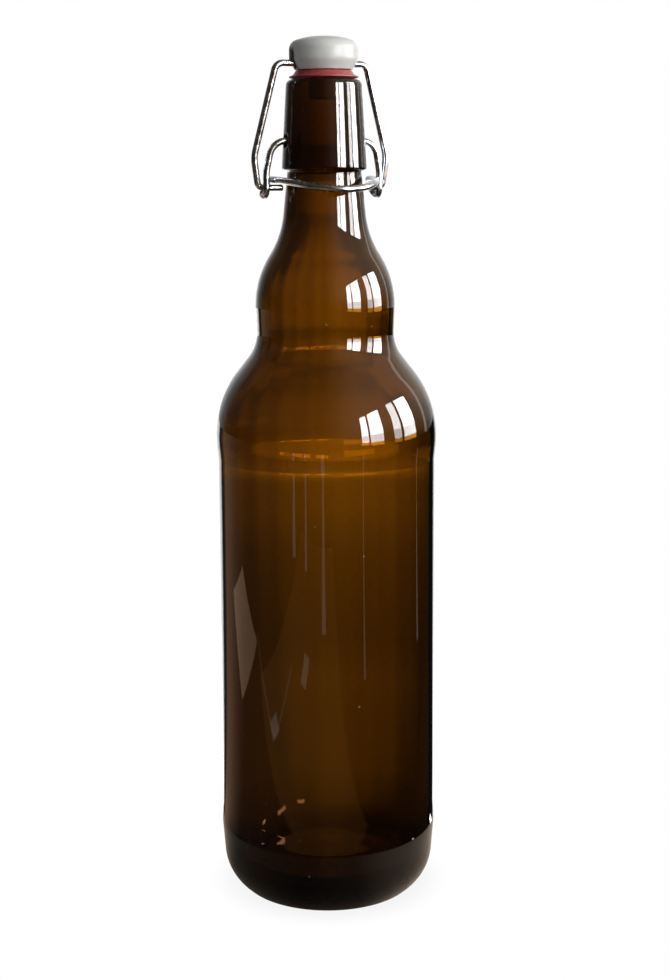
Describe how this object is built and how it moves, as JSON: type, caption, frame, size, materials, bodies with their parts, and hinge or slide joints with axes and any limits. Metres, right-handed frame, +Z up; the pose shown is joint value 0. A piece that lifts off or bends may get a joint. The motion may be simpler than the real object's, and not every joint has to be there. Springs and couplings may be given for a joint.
{
  "type": "swing top beer bottle",
  "caption": "Empty brown glass beer bottle with a bulbed neck, shut by a porcelain stopper with a red rubber seal on a hinged wire closure.",
  "frame": {"origin": "centre of the foot, on the plane the bottle stands on", "axes": "+Z up along the bottle's axis, -Y towards the front of the closure's lever, X along the pivots"},
  "size_m": [0.0864, 0.0864, 0.3321],
  "materials": {
    "brown_glass": "clear, fire polished",
    "porcelain": "glazed, glossy",
    "red_rubber": "moulded, satin",
    "steel_wire": "drawn, bright"
  },
  "bodies": {
    "bottle": {"glass_bottle": "brown_glass"},
    "lever": {"wire_lever": "steel_wire"},
    "bail": {"wire_bail": "steel_wire"},
    "closure": {"stopper": "porcelain", "rubber_seal": "red_rubber"}
  },
  "joints": [
    {"name": "lever_hinge", "type": "hinge", "parent": "bottle", "child": "lever", "pos_m": [0, 0, 0.294], "axis": [1, 0, 0], "range_deg": [-100, 0]},
    {"name": "bail_hinge", "type": "hinge", "parent": "lever", "child": "bail", "pos_m": [0, 0.004, 0.2767], "axis": [1, 0, 0], "range_deg": [0, 64]},
    {"name": "stopper_hinge", "type": "hinge", "parent": "bail", "child": "closure", "pos_m": [0, 0, 0.3222], "axis": [1, 0, 0], "range_deg": [0, 36]}
  ],
  "couplings": [
    {"joint": "bail_hinge", "follows": "lever_hinge", "ratio": -0.64},
    {"joint": "stopper_hinge", "follows": "lever_hinge", "ratio": -0.36}
  ]
}
